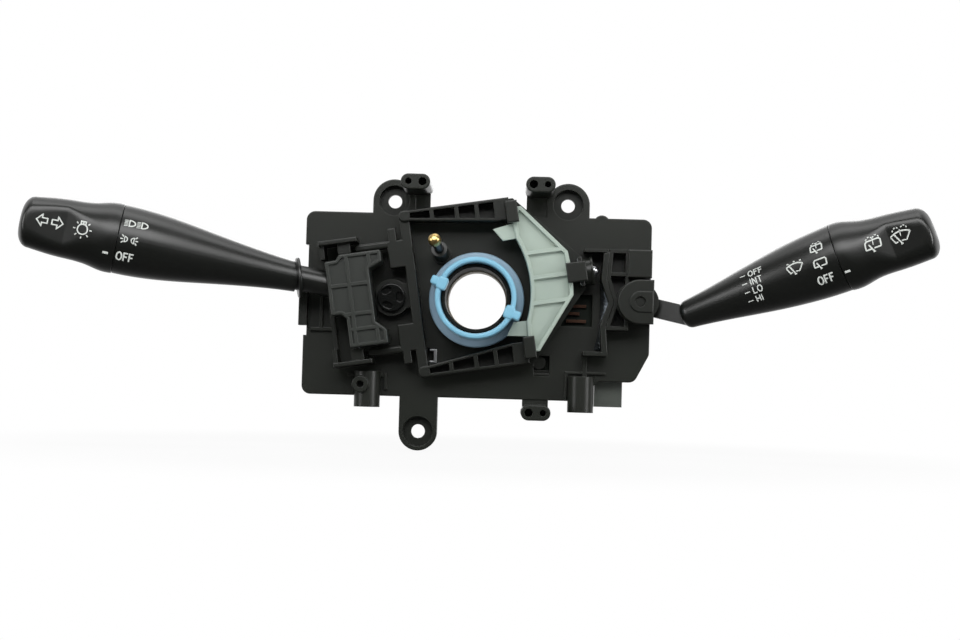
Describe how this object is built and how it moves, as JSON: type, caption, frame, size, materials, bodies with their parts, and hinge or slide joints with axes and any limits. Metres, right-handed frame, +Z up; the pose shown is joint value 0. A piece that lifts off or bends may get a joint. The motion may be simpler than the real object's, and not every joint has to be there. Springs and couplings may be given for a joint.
{
  "type": "combination stalk switch",
  "caption": "Steering-column combination switch with a lighting and turn-signal stalk on the left, a wiper and washer stalk on the right and a cancelling ring round the column bore.",
  "frame": {"origin": "on the steering axis in the mounting plane, the backs of the fixing lugs", "axes": "+X to the driver's right, +Z up, +Y along the steering axis away from the driver"},
  "size_m": [0.3925, 0.0763, 0.122],
  "materials": {
    "black_plastic": "satin moulded",
    "stalk_plastic": "fine satin grain",
    "grey_plastic": "satin moulded",
    "blue_plastic": "satin",
    "pale_plastic": "satin",
    "bush_plastic": "plain",
    "board": "lacquered",
    "steel": "bright",
    "brass": "bright",
    "copper": "bright copper"
  },
  "bodies": {
    "base": {"base_plate": "black_plastic", "window_clip": "steel", "column_hub": "black_plastic", "column_bush": "bush_plastic", "pivot_clip": "black_plastic", "detent_cam": "black_plastic", "wiper_housing": "black_plastic", "pivot_cover": "black_plastic", "horn_boss": "black_plastic", "horn_spring": "steel", "left_case": "black_plastic", "right_case": "black_plastic", "left_board": "board", "right_board": "board", "left_contacts": "copper", "right_contacts": "copper", "left_terminals": "copper", "right_terminals": "copper", "left_connector": "pale_plastic", "right_connector": "pale_plastic", "case_screws": "steel"},
    "ring": {"cancel_ring": "blue_plastic"},
    "turn_signal_frame": {"turn_frame": "black_plastic", "lever_yoke": "black_plastic", "pawl_spring": "steel", "detent_spring": "steel"},
    "contact_slider": {"turn_slider": "pale_plastic", "slider_bridge": "copper"},
    "pawl": {"cancel_pawl": "pale_plastic"},
    "detent": {"detent_plunger": "black_plastic", "detent_ball": "steel"},
    "light_lever": {"lever_block": "grey_plastic", "block_cover": "grey_plastic", "hinge_pin_upper": "steel", "hinge_pin_lower": "steel", "light_handle": "stalk_plastic", "light_contact_disc": "pale_plastic"},
    "light_switch": {"light_knob": "stalk_plastic", "light_rod": "black_plastic"},
    "dimmer": {"dimmer_plunger": "black_plastic"},
    "wiper_swivel": {"wiper_carrier": "grey_plastic", "washer_pin": "steel", "wiper_moving_contact": "copper", "wiper_ball_spring": "steel"},
    "wiper_detent": {"wiper_ball": "steel"},
    "wiper_lever": {"wiper_arm": "black_plastic", "wiper_handle": "stalk_plastic", "rear_contact_disc": "pale_plastic"},
    "rear_switch": {"rear_knob": "stalk_plastic", "rear_rod": "black_plastic"},
    "horn_contact": {"horn_pin": "brass"}
  },
  "joints": [
    {"name": "turn_signal", "type": "hinge", "parent": "base", "child": "turn_signal_frame", "pos_m": [-0.038, -0.0115, 0], "axis": [0, -1, 0], "range_deg": [-18, 0]},
    {"name": "dimmer_pass", "type": "hinge", "parent": "turn_signal_frame", "child": "light_lever", "pos_m": [-0.05538, -0.019, -0.00275], "axis": [-0.1564, 0, 0.9877], "range_deg": [-5, 8], "stiffness_Nm_per_rad": 0.5},
    {"name": "light_turn", "type": "hinge", "parent": "light_lever", "child": "light_switch", "pos_m": [-0.05632, -0.019, 0.00317], "axis": [-0.9627, -0.2079, 0.1732], "range_deg": [0, 60]},
    {"name": "ring_turn", "type": "hinge", "parent": "base", "child": "ring", "pos_m": [0, -0.02, 0], "axis": [0, -1, 0], "continuous": true},
    {"name": "pawl_slide", "type": "slide", "parent": "turn_signal_frame", "child": "pawl", "axis": [0.9877, 0, 0.1564], "range_m": [0, 0.003], "stiffness_N_per_m": 150, "deforming": ["pawl_spring"]},
    {"name": "detent_slide", "type": "slide", "parent": "turn_signal_frame", "child": "detent", "axis": [0.9877, 0, 0.1564], "range_m": [-0.0018, 0], "stiffness_N_per_m": 800, "deforming": ["detent_spring"]},
    {"name": "slider_follow", "type": "slide", "parent": "base", "child": "contact_slider", "axis": [0, 0, 1], "range_m": [-0.0034, 0.0001]},
    {"name": "dimmer_follow", "type": "slide", "parent": "base", "child": "dimmer", "axis": [0, 1, 0], "range_m": [-0.0005, 0.0008]},
    {"name": "horn_press", "type": "slide", "parent": "base", "child": "horn_contact", "axis": [-0.0861, -0.984, 0.1559], "range_m": [-0.003, 0], "stiffness_N_per_m": 400, "deforming": ["horn_spring"]},
    {"name": "wiper_turn", "type": "hinge", "parent": "base", "child": "wiper_swivel", "pos_m": [0.0722, -0.014, 0.0006], "axis": [0, -1, 0], "range_deg": [-18, 0]},
    {"name": "wiper_click", "type": "slide", "parent": "wiper_swivel", "child": "wiper_detent", "axis": [-0.9744, 0, 0.225], "range_m": [-0.0006, 0], "stiffness_N_per_m": 400, "deforming": ["wiper_ball_spring"]},
    {"name": "washer_pull", "type": "hinge", "parent": "wiper_swivel", "child": "wiper_lever", "pos_m": [0.0722, -0.013, 0.0006], "axis": [-0.225, 0, -0.9744], "range_deg": [0, 7], "stiffness_Nm_per_rad": 0.6},
    {"name": "rear_turn", "type": "hinge", "parent": "wiper_lever", "child": "rear_switch", "pos_m": [0.091, -0.02075, -0.0052], "axis": [0.8818, -0.309, 0.3563], "range_deg": [0, 55]}
  ],
  "couplings": [
    {"joint": "slider_follow", "follows": "turn_signal", "m_per_rad": 0.010456},
    {"joint": "dimmer_follow", "follows": "dimmer_pass", "m_per_rad": 0.005}
  ]
}
